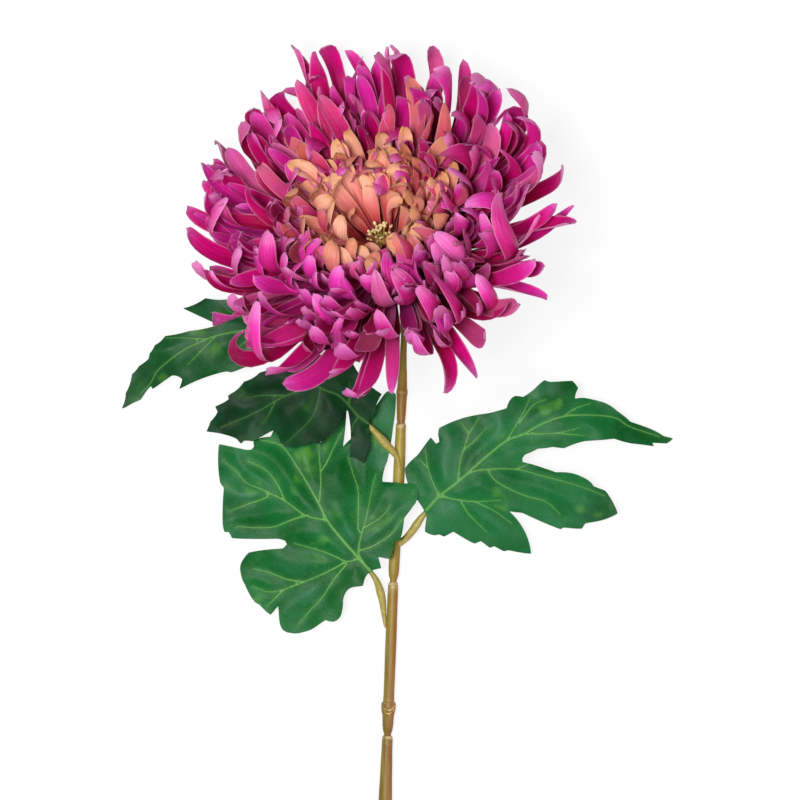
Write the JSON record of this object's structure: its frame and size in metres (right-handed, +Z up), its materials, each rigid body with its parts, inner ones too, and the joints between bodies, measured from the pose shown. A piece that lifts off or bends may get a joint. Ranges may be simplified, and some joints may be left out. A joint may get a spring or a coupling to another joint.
{
  "type": "artificial chrysanthemum",
  "caption": "Silk chrysanthemum on a cut stem lying face up, with a full curled bloom and lobed leaves.",
  "frame": {"origin": "middle of the plant's box in X and Y, on the table that it lies on", "axes": "+Y along the stem from its cut end towards the bloom, +Z up from the table, which is the way the bloom faces"},
  "size_m": [0.2152, 0.3305, 0.085],
  "materials": {
    "stem": "moulded plastic, brown to olive",
    "leaf_stalk": "moulded plastic, yellow-green",
    "leaf": "coated woven fabric, deep green with pale pressed veins",
    "calyx": "moulded plastic, green",
    "centre": "cream-yellow tuft",
    "inner_petal": "satin fabric, salmon with ochre tips",
    "petal": "satin fabric, magenta, darker at the base"
  },
  "bodies": {
    "root": {"stem_lower": "stem", "stem_middle": "stem", "stem_upper": "stem", "stem_neck": "stem", "leaf_stalk_front": "leaf_stalk", "leaf_stalk_right": "leaf_stalk", "leaf_stalk_back": "leaf_stalk", "leaf_stalk_high": "leaf_stalk", "leaf_front": "leaf", "leaf_right": "leaf", "leaf_back": "leaf", "leaf_high": "leaf", "calyx": "calyx", "flower_pin": "calyx", "flower_centre": "centre", "petal_ring_01": "inner_petal", "petal_ring_02": "inner_petal", "petal_ring_03": "inner_petal", "petal_ring_04": "inner_petal", "petal_ring_05": "inner_petal", "petal_ring_06": "petal", "petal_ring_07": "petal", "petal_ring_08": "petal", "petal_ring_09": "petal", "petal_ring_10": "petal", "petal_ring_11": "petal", "petal_ring_12": "petal", "petal_ring_13": "petal", "petal_ring_14": "petal"}
  },
  "joints": []
}
